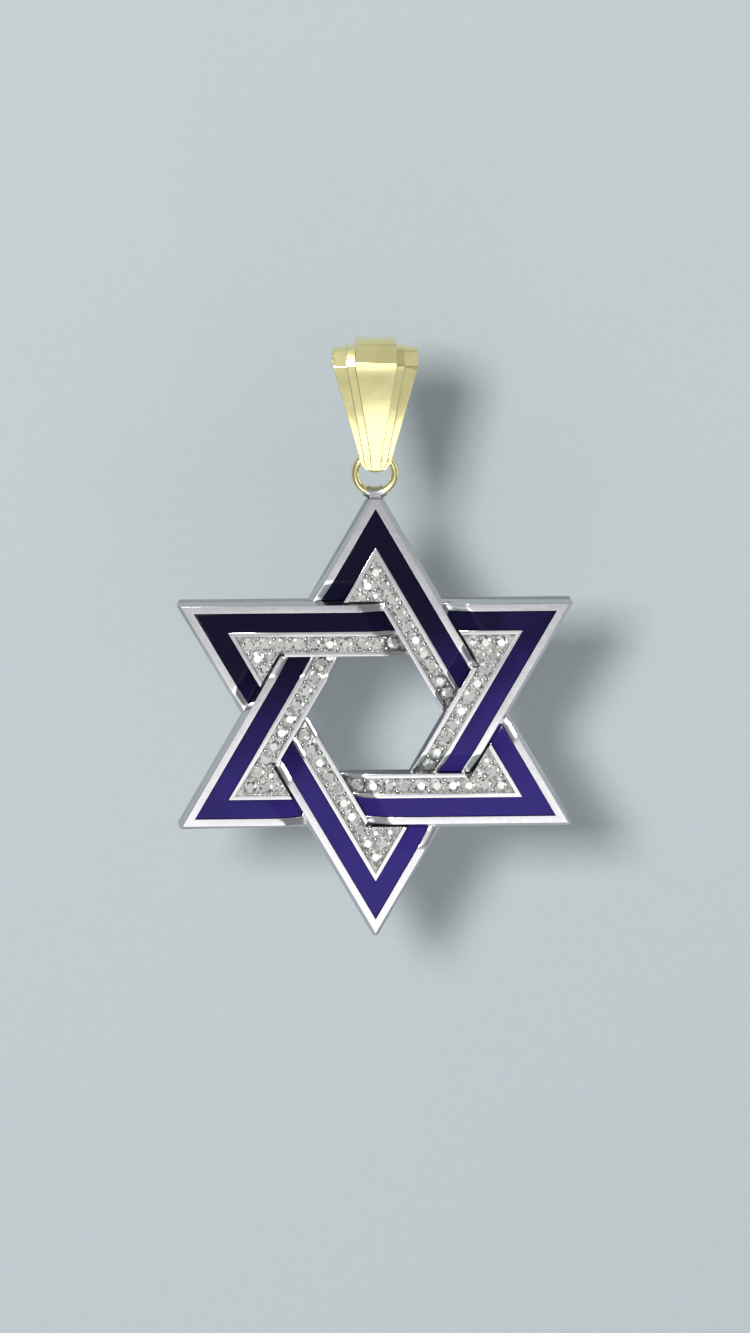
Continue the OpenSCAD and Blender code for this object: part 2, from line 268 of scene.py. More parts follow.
def finish_with(obj, kind, **settings):
    """Adds a modifier and applies it."""
    take(obj)
    modifier = obj.modifiers.new(kind.title(), kind)
    for key, value in settings.items():
        setattr(modifier, key, value)
    bpy.ops.object.modifier_apply(modifier=modifier.name)


def smooth(obj, angle):
    """Shades smooth all that turns by less than the angle in degrees."""
    take(obj)
    bpy.ops.object.shade_smooth_by_angle(angle=math.radians(angle), keep_sharp_edges=False)


def dress(obj, material):
    """Gives the object this material and no other."""
    obj.data.materials.clear()
    obj.data.materials.append(material)


def merged_copy(node, name):
    """A copy of a node's mesh with its doubles merged and its flat faces joined."""
    copy = bpy.data.objects.new(name, frame["nodes"][node].data.copy())
    bpy.context.scene.collection.objects.link(copy)
    copy.data.name = name
    edit(copy)
    bpy.ops.mesh.customdata_custom_splitnormals_clear()
    bpy.ops.mesh.remove_doubles(threshold=0.0006 * MM)
    bpy.ops.mesh.dissolve_limited(angle_limit=math.radians(0.4))
    bpy.ops.mesh.normals_make_consistent(inside=False)
    leave()
    return copy


def write_layer(obj, name, domain, values):
    """Writes one number for each edge or face of the mesh into a layer of that name."""
    layers = obj.data.attributes
    layer = layers.get(name) or layers.new(name, "FLOAT", domain)
    layer.data.foreach_set("value", values)


def weigh_edges(obj, weight_of):
    """Sets the bevel weight of each edge to what weight_of(edge) returns."""
    tool = bmesh.new()
    tool.from_mesh(obj.data)
    tool.edges.ensure_lookup_table()
    weights = [float(weight_of(e)) for e in tool.edges]
    tool.free()
    write_layer(obj, "bevel_weight_edge", "EDGE", weights)


def turn_of(edge):
    """The angle by which the two faces at an edge turn from each other."""
    return edge.calc_face_angle(0.0)


def tops_of(edge):
    """The faces at an edge that face the front."""
    return [f for f in edge.link_faces if f.normal.y < -0.7]


def walls_of(edge):
    """The faces at an edge that run from front to back."""
    return [f for f in edge.link_faces if abs(f.normal.y) < 0.3]


def soften(obj, width, segments, angle):
    """Rounds the weighed edges, and smooths what turns by less than the angle in degrees."""
    finish_with(
        obj, "BEVEL", width=width, segments=segments, limit_method="WEIGHT",
        use_clamp_overlap=False, loop_slide=False, miter_outer="MITER_SHARP", harden_normals=False,
    )
    smooth(obj, angle)
    finish_with(obj, "WEIGHTED_NORMAL", keep_sharp=True, weight=50)


# Material helpers

def add(tree, kind, inputs=None, **settings):
    """Adds a node, sets it up and links or sets its inputs."""
    node = tree.nodes.new(kind)
    for key, value in settings.items():
        setattr(node, key, value)
    for key, value in (inputs or {}).items():
        if isinstance(value, bpy.types.NodeSocket):
            tree.links.new(value, node.inputs[key])
        else:
            node.inputs[key].default_value = value
    return node


def new_material(name):
    material = bpy.data.materials.new(name)
    material.use_nodes = True
    tree = material.node_tree
    return material, tree, tree.nodes["Principled BSDF"]


def feed(tree, node, **inputs):
    """Links or sets inputs, with underscores in place of the spaces in their names."""
    for key, value in inputs.items():
        socket = node.inputs[key.replace("_", " ")]
        if isinstance(value, bpy.types.NodeSocket):
            tree.links.new(value, socket)
        else:
            socket.default_value = value


def place_on(tree, scale=(1, 1, 1), turn=(0, 0, 0)):
    """Object coordinates in millimetres, stretched, and turned by angles in degrees."""
    source = add(tree, "ShaderNodeTexCoord").outputs["Object"]
    inputs = {
        "Vector": source,
        "Scale": [s / MM for s in scale],
        "Rotation": [math.radians(t) for t in turn],
    }
    return add(tree, "ShaderNodeMapping", inputs).outputs["Vector"]


def noise(tree, place, scale, detail=3.0, roughness=0.5):
    return add(
        tree, "ShaderNodeTexNoise",
        {"Vector": place, "Scale": scale, "Detail": detail, "Roughness": roughness},
    ).outputs["Fac"]


def fit(tree, value, low, high, to_low, to_high, smooth_ends=False):
    """Takes value from the range low to high into the range to_low to to_high."""
    return add(
        tree, "ShaderNodeMapRange",
        {"Value": value, "From Min": low, "From Max": high, "To Min": to_low, "To Max": to_high},
        interpolation_type="SMOOTHSTEP" if smooth_ends else "LINEAR",
    ).outputs["Result"]


def maths(tree, operation, a, b=0.0):
    return add(tree, "ShaderNodeMath", {0: a, 1: b}, operation=operation).outputs[0]


def blend_of(tree, amount, a, b, how="MIX"):
    """Mixes two colours."""
    def full(c):
        return c if isinstance(c, bpy.types.NodeSocket) else (*c, 1.0)

    return add(
        tree, "ShaderNodeMix", {0: amount, 6: full(a), 7: full(b)}, data_type="RGBA", blend_type=how
    ).outputs[2]


def place_along(tree, axis):
    """How far a spot lies along one axis of the pendant's frame, in metres."""
    source = add(tree, "ShaderNodeTexCoord").outputs["Object"]
    return add(tree, "ShaderNodeSeparateXYZ", {"Vector": source}).outputs[axis]


def layer_value(tree, name):
    """The number that a layer of the mesh holds at a spot."""
    source = add(tree, "ShaderNodeAttribute", attribute_name=name, attribute_type="GEOMETRY")
    return source.outputs["Fac"]


def bump(tree, height, depth, after=None):
    """Bump of the given depth in metres, on top of another one."""
    inputs = {"Height": height, "Distance": depth, "Strength": 1.0}
    if after is not None:
        inputs["Normal"] = after
    return add(tree, "ShaderNodeBump", inputs).outputs["Normal"]


def polish_marks(tree, ripple, scratch):
    """Normal of a hand-polished metal: slow ripples, and fine scratches that cross."""
    slow = bump(tree, noise(tree, place_on(tree), 0.55, 2.0), ripple)
    along = noise(tree, place_on(tree, (9.0, 9.0, 0.7), (0, 28, 8)), 1.0, 2.0, 0.6)
    across = noise(tree, place_on(tree, (8.0, 8.0, 0.6), (12, -41, 0)), 1.0, 2.0, 0.6)
    lines = maths(tree, "MAXIMUM", along, across)
    return bump(tree, lines, scratch, slow)


# Materials

def white_gold(settings):
    """Polished white gold, with painted shade towards the top and on the star's upright walls."""
    material, tree, metal = new_material("white gold, polished")
    # Painted shade: the white gold darkens from the foot of the star towards its top point.
    height = fit(tree, place_along(tree, "Z"), STAR_LOW.z, STAR_HIGH.z, 0.0, 1.0)
    cloud = noise(tree, place_on(tree), 0.35, 4.0, 0.6)
    tone = maths(tree, "ADD", height, fit(tree, cloud, 0.3, 0.7, -0.14, 0.14))
    base = blend_of(tree, tone, tuple(settings.white), tuple(settings.shaded_white_top))
    grime = noise(tree, place_on(tree), 2.6, 5.0, 0.65)
    grime_colour = (0.42, 0.41, 0.43)
    base = blend_of(tree, fit(tree, grime, 0.35, 0.62, 0.0, 0.10, True), base, grime_colour)
    # Painted shade on the upright walls of the star.
    shade = maths(tree, "MULTIPLY", layer_value(tree, "painted_shade_wall"), settings.painted_wall_shade)
    shade_colour = (0.05, 0.05, 0.055)
    base = blend_of(tree, shade, base, shade_colour)
    rough = fit(
        tree, noise(tree, place_on(tree), 1.7, 4.0, 0.6), 0.3, 0.7,
        settings.white_roughness - 0.015, settings.white_roughness + 0.025,
    )
    marks = polish_marks(tree, 0.004 * MM, 0.0014 * MM)
    feed(tree, metal, Base_Color=base, Metallic=1.0, Roughness=rough, Normal=marks)
    return material


def shaded_cut_bed(settings):
    """Metal between the stones, darker partly by its own cut finish and partly by painted shade, with
    the short strokes of the graver.
    """
    material, tree, metal = new_material("white gold, cut bed, painted shade")
    strokes = noise(tree, place_on(tree, (7.0, 7.0, 1.6), (0, 35, 0)), 1.0, 3.0, 0.6)
    patch = fit(tree, noise(tree, place_on(tree), 3.2, 4.0, 0.6), 0.35, 0.7, 0.0, 1.0, True)
    base = blend_of(tree, patch, tuple(settings.bed), tuple(c * 0.35 for c in settings.bed))
    rough = fit(tree, strokes, 0.3, 0.7, 0.22, 0.42)
    grooves = bump(tree, strokes, 0.02 * MM)
    feed(tree, metal, Base_Color=base, Metallic=1.0, Roughness=rough, Normal=grooves)
    return material


def yellow_gold(settings):
    """Polished pale yellow gold with a deeper tone in patches and polish marks."""
    material, tree, metal = new_material("yellow gold, polished")
    cloud = noise(tree, place_on(tree), 0.35, 2.0, 0.5)
    patch = fit(tree, cloud, 0.35, 0.75, 0.0, 0.4, True)
    base = blend_of(tree, patch, tuple(settings.yellow), tuple(settings.yellow_deep))
    rough = fit(
        tree, noise(tree, place_on(tree), 2.1, 4.0, 0.6), 0.3, 0.7,
        settings.yellow_roughness - 0.012, settings.yellow_roughness + 0.02,
    )
    marks = polish_marks(tree, 0.004 * MM, 0.0012 * MM)
    feed(tree, metal, Base_Color=base, Metallic=1.0, Roughness=rough, Normal=marks)
    return material


def violet_enamel(settings):
    """Fired enamel under a glossy skin, with painted light: shaded near black high on the star and lit
    vivid low on it.
    """
    material, tree, glass = new_material("violet enamel, fired")
    drift = fit(tree, noise(tree, place_on(tree), 0.22, 3.0, 0.5), 0.3, 0.7, -2.6 * MM, 2.6 * MM)
    # Painted light and shade: the fade runs with height and lies lower on the left.
    lean = maths(tree, "MULTIPLY", place_along(tree, "X"), settings.shade_lean)
    height = maths(tree, "SUBTRACT", place_along(tree, "Z"), lean)
    tone = fit(
        tree, maths(tree, "ADD", height, drift),
        settings.lit_height, settings.shaded_height, 0.0, 1.0, True,
    )
    base = blend_of(tree, tone, tuple(settings.vivid), tuple(settings.dark))
    grain = fit(tree, noise(tree, place_on(tree), 9.0, 3.0, 0.6), 0.35, 0.75, 0.0, 0.16)
    grain_colour = (0.16, 0.12, 0.50)
    base = blend_of(tree, grain, base, grain_colour, "MULTIPLY")
    skin = bump(tree, noise(tree, place_on(tree), 1.3, 2.0), 0.008 * MM)
    skin = bump(tree, noise(tree, place_on(tree), 7.0, 2.0), 0.0008 * MM, skin)
    rough = fit(
        tree, noise(tree, place_on(tree), 3.0, 3.0), 0.3, 0.7,
        settings.roughness - 0.03, settings.roughness + 0.06,
    )
    feed(
        tree, glass, Base_Color=base, Roughness=rough, IOR=1.45, Specular_IOR_Level=0.05,
        Coat_Weight=0.06, Coat_Roughness=0.04, Coat_IOR=1.4, Normal=skin, Coat_Normal=skin,
    )
    return material


def cut_stone(settings):
    """Clear stone whose facets are painted lighter and darker, painted light for what comes back out of
    the real one.
    """
    material, tree, stone = new_material("white stone, brilliant cut")
    veil = fit(tree, noise(tree, place_on(tree), 5.0, 3.0), 0.3, 0.7, 0.86, 1.0)
    light = maths(tree, "MULTIPLY", layer_value(tree, "painted_facet_light"), veil)
    dark_facet = (0.05, 0.052, 0.048)
    body = blend_of(tree, light, dark_facet, tuple(settings.body))
    feed(
        tree, stone, Base_Color=body, Metallic=0.5, Roughness=0.04, IOR=2.4,
        Coat_Weight=0.6, Coat_Roughness=0.0, Coat_IOR=2.0,
        Normal=bump(tree, noise(tree, place_on(tree), 3.0, 1.0), 0.0004 * MM),
    )
    return material


def stage_finish(settings):
    """Matt paper of the floor and backdrop, which isn't there from behind."""
    material, tree, paper = new_material("backdrop paper")
    grain = noise(tree, place_on(tree), 1.4, 4.0, 0.6)
    tint = fit(tree, grain, 0.3, 0.7, 0.0, 1.0)
    low = tuple(c * 0.97 for c in settings.backdrop)
    feed(tree, paper, Base_Color=blend_of(tree, tint, low, tuple(settings.backdrop)), Roughness=0.9)
    feed(tree, paper, Normal=bump(tree, grain, 0.004 * MM))
    clear = add(tree, "ShaderNodeBsdfTransparent").outputs[0]
    behind = add(tree, "ShaderNodeNewGeometry").outputs["Backfacing"]
    mixed = add(tree, "ShaderNodeMixShader", {0: behind, 1: paper.outputs[0], 2: clear}).outputs[0]
    tree.links.new(mixed, tree.nodes["Material Output"].inputs["Surface"])
    return material


def shared_material(name, make, settings):
    """The material of that name, made once."""
    return bpy.data.materials.get(name) or make(settings)


# Stones

def loose_solids(mesh):
    """The corners of each loose solid in a mesh of separate triangles, as one array a solid."""
    alike = 0.002 * MM
    keys = [tuple(round(c / alike) for c in v.co) for v in mesh.vertices]
    first = {}
    same = [first.setdefault(k, i) for i, k in enumerate(keys)]
    owner = {i: i for i in first.values()}

    def root(i):
        while owner[i] != i:
            owner[i] = owner[owner[i]]
            i = owner[i]
        return i

    for face in mesh.polygons:
        corners = [same[i] for i in face.vertices]
        for other in corners[1:]:
            owner[root(other)] = root(corners[0])
    groups = {}
    for i in owner:
        groups.setdefault(root(i), []).append(tuple(mesh.vertices[i].co))
    return [np.array(corners) for corners in groups.values()]


def stone_places(point):
    """Middle of the girdle's foot, outward axis and radius of each stone in a point of the star."""
    pavilion = bpy.context.scene.pendant_stones.pavilion
    places = []
    for corners in loose_solids(frame["nodes"]["stones_" + point].data):
        middle = corners.mean(0)
        spread, axes = np.linalg.eigh(np.cov((corners - middle).T))
        odd = 0 if spread[1] - spread[0] > spread[2] - spread[1] else 2
        axis = axes[:, odd]
        along = (corners - middle) @ axis
        if along.max() > -along.min():
            axis, along = -axis, -along
        radius = np.linalg.norm(corners - middle - np.outer(along, axis), axis=1).max()
        foot = middle + axis * (along.min() + pavilion * radius)
        places.append((Vector(foot), Vector(axis).normalized(), float(radius)))
    return sorted(places, key=lambda p: (round(p[0].x, 6), round(p[0].z, 6)))


def cut(reach, height, azimuth, lean, up):
    """Grinds one facet, which leans from the horizontal, through a spot at that reach and height."""
    across = (math.cos(azimuth), math.sin(azimuth))
    normal = (math.sin(lean) * across[0], math.sin(lean) * across[1], math.cos(lean) * up)
    bpy.ops.mesh.select_all(action="SELECT")
    bpy.ops.mesh.bisect(
        plane_co=(reach * across[0], reach * across[1], height), plane_no=normal,
        use_fill=True, clear_outer=True, threshold=0.00002,
    )


def brilliant(settings):
    """A round brilliant of radius 1, ground facet by facet out of a sixteen-sided blank."""
    sides = 16
    spare = 0.1
    top, foot = settings.girdle + settings.crown, -settings.pavilion
    deselect()
    bpy.ops.mesh.primitive_cylinder_add(
        vertices=sides, radius=1.0, depth=top - foot + spare, location=(0, 0, (top + foot - spare) / 2)
    )
    stone = bpy.context.object
    settle(stone)
    edit(stone)
    step = 2 * math.pi / sides
    flat_reach = math.cos(step / 2)
    star_reach = settings.table * math.cos(step)
    main_lean = math.atan2(settings.crown, 1 - settings.table)
    half_lean = math.radians(41.0)
    star_lean = math.radians(22.0)
    under_lean = math.atan(settings.pavilion)
    lower_lean = under_lean + math.radians(1.25)
    for i in range(sides):
        cut(flat_reach, settings.girdle, (i + 0.5) * step, half_lean, 1)
        cut(flat_reach, 0.0, (i + 0.5) * step, lower_lean, -1)
    for i in range(0, sides, 2):
        cut(1.0, settings.girdle, i * step, main_lean, 1)
        cut(1.0, 0.0, i * step, under_lean, -1)
    for i in range(1, sides, 2):
        cut(star_reach, top, i * step, star_lean, 1)
    bpy.ops.mesh.select_all(action="SELECT")
    bpy.ops.mesh.remove_doubles(threshold=0.002)
    bpy.ops.mesh.normals_make_consistent(inside=False)
    leave()
    return stone


def put_copy(original, name, matrix):
    """A copy of an object with its own mesh, at the place given."""
    copy = bpy.data.objects.new(name, original.data.copy())
    bpy.context.scene.collection.objects.link(copy)
    copy.matrix_world = matrix
    return copy


def join(parts, name):
    """Joins objects into one of that name, with its place in its mesh."""
    for part in parts:
        settle(part)
    take(*parts)
    if len(parts) > 1:
        bpy.ops.object.join()
    whole = bpy.context.view_layer.objects.active
    whole.name = whole.data.name = name
    return whole


def stand(place, axis, turn, size):
    """Matrix that stands an object at a place with its own upward direction along axis."""
    return (
        Matrix.Translation(place) @ axis.to_track_quat("Z", "Y").to_matrix().to_4x4()
        @ Matrix.Rotation(turn, 4, "Z") @ Matrix.Diagonal((*size, 1.0))
    )


def paint_facet_light(stone, seed):
    """Paints each facet of a stone a brightness of its own, and the table a middle one, as painted
    light.
    """
    chance = random.Random(seed)
    table_tones = (0.45, 0.8)
    facet_tones = (0.15, 0.5, 0.8, 1.0, 1.0)
    tones = []
    for face in stone.data.polygons:
        if face.normal.z > 0.99:
            tones.append(chance.uniform(*table_tones))
        else:
            tones.append(chance.choice(facet_tones))
    write_layer(stone, "painted_facet_light", "FACE", tones)


# Pieces and stage

class PENDANT_OT_bail(bpy.types.Operator):
    """Softens the folded flutes of the bail and polishes them"""

    bl_idname = "pendant.bail"
    bl_label = "Bail"
    rows = 12
    swell_top = -0.2 * MM
    swell_foot = HINGE.z - 0.4 * MM
    outer_face = 1.05 * MM
    fold_foot = -1.5 * MM
    tongue_reach = 0.3 * MM
    shortest_edge = 0.12 * MM

    def swell(self, bail, rise):
        """Cuts the leaves into rows and swells their outer faces between the fold and the foot."""
        top, foot = self.swell_top, self.swell_foot
        edit(bail)
        for i in range(self.rows + 1):
            height = top + (foot - top) * i / self.rows
            bpy.ops.mesh.select_all(action="SELECT")
            bpy.ops.mesh.bisect(plane_co=(0, 0, height), plane_no=(0, 0, 1), threshold=1e-7)
        bpy.ops.mesh.select_all(action="SELECT")
        bpy.ops.mesh.vert_connect_concave()
        leave()
        for vertex in bail.data.vertices:
            if foot < vertex.co.z < top and abs(vertex.co.y) > self.outer_face:
                part = (top - vertex.co.z) / (top - foot)
                vertex.co.y += math.copysign(rise * (part - part ** 3), vertex.co.y)

    def weight(self, edge):
        """Softens the creases, also the slight ones round the fold, but not the tip of the foot."""
        bottom = min(v.co.z for v in edge.verts)
        least = math.radians(12 if bottom > self.fold_foot else 30)
        clear = bottom > BAIL_LOW.z + self.tongue_reach
        return clear and edge.calc_length() > self.shortest_edge and turn_of(edge) > least

    def execute(self, context):
        settings = context.scene.pendant_metal
        bail = merged_copy("bail", "bail_flutes")
        self.swell(bail, settings.bail_swell)
        weigh_edges(bail, self.weight)
        soften(bail, settings.bail_edge, 3, 40)
        dress(bail, shared_material("yellow gold, polished", yellow_gold, settings))
        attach(bail, "bail")
        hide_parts("bail")
        return {"FINISHED"}


class PENDANT_OT_jump_ring(bpy.types.Operator):
    """Bends the jump ring's wire and polishes it"""

    bl_idname = "pendant.jump_ring"
    bl_label = "Jump ring"

    def execute(self, context):
        low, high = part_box("jump_ring")
        wire = (high.y - low.y) / 2
        radius = (high.x - low.x) / 2 - wire
        deselect()
        bpy.ops.mesh.primitive_torus_add(
            major_segments=96, minor_segments=24, major_radius=radius, minor_radius=wire,
            location=(low + high) / 2, rotation=(math.pi / 2, 0, 0),
        )
        ring = bpy.context.object
        ring.name = ring.data.name = "jump_ring_wire"
        settle(ring)
        smooth(ring, 60)
        settings = context.scene.pendant_metal
        dress(ring, shared_material("yellow gold, polished", yellow_gold, settings))
        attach(ring, "star")
        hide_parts("jump_ring")
        return {"FINISHED"}


class PENDANT_OT_star_frame(bpy.types.Operator):
    """Softens the rims of the woven star, bright-cuts its stone beds and polishes it"""

    bl_idname = "pendant.star_frame"
    bl_label = "Star frame"
    steps = 4
    near = 0.005 * MM
    front_layer = 1.0 * MM
    # Reach is from the axis of the nearest stone, above and below are from its girdle.
    seat_reach = 0.62 * MM
    bed_reach = 1.6 * MM
    above_seat = 0.05 * MM
    below_seat = 0.15 * MM
    bed_turn = math.radians(40)
    # Only edges below the collar that are long and sharp enough are rounded.
    collar_reach = 1.2 * MM
    shortest_edge = 0.25 * MM
    least_turn = math.radians(22)
    bed_wall = (0.19 * MM, 0.25 * MM)

    def slope(self, part):
        """How deep a dip is, from 0 to 1, at a share of its run that is eased in straight steps."""
        step = min(part * self.steps, self.steps - 1e-6)
        before, after = (
            t * t * (3 - 2 * t) for t in (int(step) / self.steps, (int(step) + 1) / self.steps)
        )
        return before + (after - before) * (step - int(step))

    def sink_edge(self, star, settings, side, run, start, end):
        """Lets the slanted outer edge of one side sink with the dip that runs from start to end."""
        middle = Vector((0, STAR_LOW.y, STAR_LOW.z + 2 * settings.side_reach - settings.point_cut))
        out = Vector((math.cos(side), 0, math.sin(side)))
        along = Vector((math.cos(run), 0, math.sin(run)))
        inner = settings.side_reach - settings.slant
        low, high = sorted((start, end))

        def over_dip(face):
            spots = [star.data.vertices[i].co - middle for i in face.vertices]
            runs = [p.dot(along) for p in spots]
            in_front = face.normal.y < -0.2 and min(p.y for p in spots) < self.front_layer
            at_edge = max(p.dot(out) for p in spots) > inner + self.near
            in_run = min(runs) < high - self.near and max(runs) > low - self.near
            return in_front and at_edge and in_run

        choose(star, "FACE", over_dip)
        planes = [(middle + out * inner, out)]
        for i in range(self.steps + 1):
            planes.append((middle + along * (start + (end - start) * i / self.steps), along))
        for point, normal in planes:
            bpy.ops.mesh.bisect(plane_co=point, plane_no=normal, threshold=1e-7)
        leave()
        for vertex in star.data.vertices:
            spot = vertex.co - middle
            part = (spot.dot(along) - start) / (end - start)
            past = spot.dot(out) - inner
            if not -self.near < past < settings.slant + self.near or not 0.001 < part < 1.001:
                continue
            depth = settings.dip * self.slope(part)
            on_upper_band = part > 0.999 and spot.y < depth - self.near
            on_the_back = spot.y > settings.dip * 2
            if on_upper_band or on_the_back:
                continue
            vertex.co.y = middle.y + depth + max(past, 0) * settings.slant_depth / settings.slant

    def mark_beds(self, star):
        """Gives the second material, cut metal with painted shade, to the floors of the stone beds and
        to the seats.
        """
        stones = [s for point in POINTS for s in stone_places(point)]
        places = np.array([s[0] for s in stones])
        axes = np.array([s[1] for s in stones])
        corners = np.array([v.co for v in star.data.vertices])
        nearest = np.argmin(((corners[:, None, :] - places[None]) ** 2).sum(2), 1)
        offset = corners - places[nearest]
        rise = (offset * axes[nearest]).sum(1)
        away = np.sqrt(np.maximum((offset ** 2).sum(1) - rise ** 2, 0))
        tool = bmesh.new()
        tool.from_mesh(star.data)
        seats, floors = set(), set()
        for face in tool.faces:
            if face.normal.y > 0.5:
                continue
            mine = [v.index for v in face.verts]
            level, reach = rise[mine].mean(), away[mine].max()
            if level < self.above_seat and reach < self.seat_reach:
                seats.add(face)
            elif -self.below_seat < level < self.above_seat and reach < self.bed_reach:
                floors.add(face)
        grown = list(seats)
        while grown:
            face = grown.pop()
            face.material_index = 1
            for edge in face.edges:
                level_on = face in seats or turn_of(edge) < self.bed_turn
                for other in edge.link_faces:
                    if other in floors and level_on:
                        floors.remove(other)
                        grown.append(other)
        tool.to_mesh(star.data)
        tool.free()

    def weight(self, edge, settings):
        """Rounds outer edges narrowly and the low walls of the beds fully, but not the collar."""
        tip = STAR_LOW.z + 2 * (2 * settings.side_reach - settings.point_cut)
        if len(edge.link_faces) != 2 or edge.calc_length() < self.shortest_edge:
            return 0
        if min(v.co.z for v in edge.verts) > tip - self.collar_reach:
            return 0
        if turn_of(edge) < self.least_turn or not edge.is_convex:
            return 0
        walls = walls_of(edge)
        if walls and tops_of(edge):
            depths = [v.co.y for v in walls[0].verts]
            if self.bed_wall[0] < max(depths) - min(depths) < self.bed_wall[1]:
                return 1
        return settings.frame_edge / settings.bed_edge

    def execute(self, context):
        settings = context.scene.pendant_metal
        star = merged_copy("star_frame", "star_rims")
        for i in range(6):
            turn = math.radians(-60 * i)
            # One band dips towards the inner side of the band that crosses over it.
            self.sink_edge(
                star, settings, turn + math.radians(90), turn + math.radians(30),
                settings.band_foot - settings.dip_run, settings.band_foot,
            )
            # Another band dips towards the outer side of the band that crosses over it.
            self.sink_edge(
                star, settings, turn + math.radians(210), turn + math.radians(150),
                settings.side_reach + settings.dip_run, settings.side_reach,
            )
        dress(star, shared_material("white gold, polished", white_gold, settings))
        star.data.materials.append(shared_material("white gold, cut bed, painted shade", shaded_cut_bed, settings))
        self.mark_beds(star)
        # Marks the upright walls, which the white gold darkens with painted shade.
        upright = [float(abs(f.normal.y) < 0.2) for f in star.data.polygons]
        write_layer(star, "painted_shade_wall", "FACE", upright)
        weigh_edges(star, lambda edge: self.weight(edge, settings))
        soften(star, settings.bed_edge, 2, 32)
        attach(star, "star")
        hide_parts("star_frame")
        return {"FINISHED"}


class PENDANT_OT_enamel(bpy.types.Operator):
    """Rounds the edges of the six enamel fillings and glazes them"""

    bl_idname = "pendant.enamel"
    bl_label = "Enamel"

    def execute(self, context):
        settings = context.scene.pendant_enamel
        for point in POINTS:
            glaze = merged_copy("enamel_" + point, "glaze_" + point)
            weigh_edges(glaze, lambda edge: bool(tops_of(edge) and walls_of(edge)))
            soften(glaze, settings.edge, 3, 40)
            dress(glaze, shared_material("violet enamel, fired", violet_enamel, settings))
            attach(glaze, "star")
            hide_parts("enamel_" + point)
        return {"FINISHED"}


class PENDANT_OT_stones(bpy.types.Operator):
    """Cuts a brilliant and sets copies of it in every seat of the six rows"""

    bl_idname = "pendant.stones"
    bl_label = "Stones"
    most_lean = 0.03

    def execute(self, context):
        settings = context.scene.pendant_stones
        original = brilliant(settings)
        chance = random.Random(context.scene.pendant_stage.seed)
        material = shared_material("white stone, brilliant cut", cut_stone, settings)
        for point in POINTS:
            parts = []
            for place, axis, radius in stone_places(point):
                turn = chance.uniform(0, math.pi / 4)
                lean = Vector((chance.uniform(-1, 1), 0, chance.uniform(-1, 1))) * self.most_lean
                seat = stand(place, (axis + lean).normalized(), turn, [radius] * 3)
                part = put_copy(original, "stone", seat)
                paint_facet_light(part, chance.random())
                parts.append(part)
            row = join(parts, "brilliants_" + point)
            dress(row, material)
            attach(row, "star")
            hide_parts("stones_" + point)
        bpy.data.objects.remove(original)
        return {"FINISHED"}


class PENDANT_OT_beads(bpy.types.Operator):
    """Raises the beads that hold the stones, between each two of them"""

    bl_idname = "pendant.beads"
    bl_label = "Setting beads"
    usual_stone = 0.55 * MM
    flatness = 0.85

    def bead(self):
        """A bead of radius 1: a ball cut off below its middle, on a foot that widens downwards."""
        cut_height, foot_depth, foot_width = -0.35, 0.9, 1.25
        deselect()
        bpy.ops.mesh.primitive_uv_sphere_add(segments=12, ring_count=8, radius=1.0, location=(0, 0, 0))
        ball = bpy.context.object
        edit(ball)
        bpy.ops.mesh.bisect(
            plane_co=(0, 0, cut_height), plane_no=(0, 0, 1),
            use_fill=True, clear_inner=True, threshold=0.001,
        )
        leave()
        choose(ball, "FACE", lambda face: face.normal.z < -0.99)
        bpy.ops.mesh.extrude_region_move(TRANSFORM_OT_translate={"value": (0, 0, -foot_depth)})
        bpy.ops.transform.resize(value=(foot_width, foot_width, 1.0))
        leave()
        smooth(ball, 50)
        return ball

    def spots(self, stones, settings):
        """Where beads go, as (place, axis): to both sides of each gap between two near stones."""
        found = []
        for i, (a, axis_a, radius_a) in enumerate(stones):
            for b, axis_b, radius_b in stones[i + 1:]:
                gap = (b - a).length
                if gap > settings.bead_reach:
                    continue
                axis = (axis_a + axis_b).normalized()
                across = (b - a).cross(axis).normalized()
                middle = (a * radius_b + b * radius_a) / (radius_a + radius_b)
                smaller = min(radius_a, radius_b)
                for side in (-1, 1):
                    spot = middle + across * side * settings.bead_side * smaller / self.usual_stone
                    free = all((spot - c).length > r + settings.bead * 0.2 for c, _, r in stones)
                    apart = all((spot - other).length > settings.bead * 1.6 for other, _ in found)
                    if free and apart:
                        found.append((spot, axis))
        return found

    def execute(self, context):
        settings = context.scene.pendant_stones
        ball = self.bead()
        chance = random.Random(context.scene.pendant_stage.seed + 1)
        metal = shared_material("white gold, polished", white_gold, context.scene.pendant_metal)
        for point in POINTS:
            parts = []
            for spot, axis in self.spots(stone_places(point), settings):
                size = settings.bead * chance.uniform(0.9, 1.08)
                turn = chance.uniform(0, 6)
                place = stand(spot, axis, turn, [size, size, size * self.flatness])
                parts.append(put_copy(ball, "bead", place))
            beads = join(parts, "beads_" + point)
            dress(beads, metal)
            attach(beads, "star")
        bpy.data.objects.remove(ball)
        return {"FINISHED"}


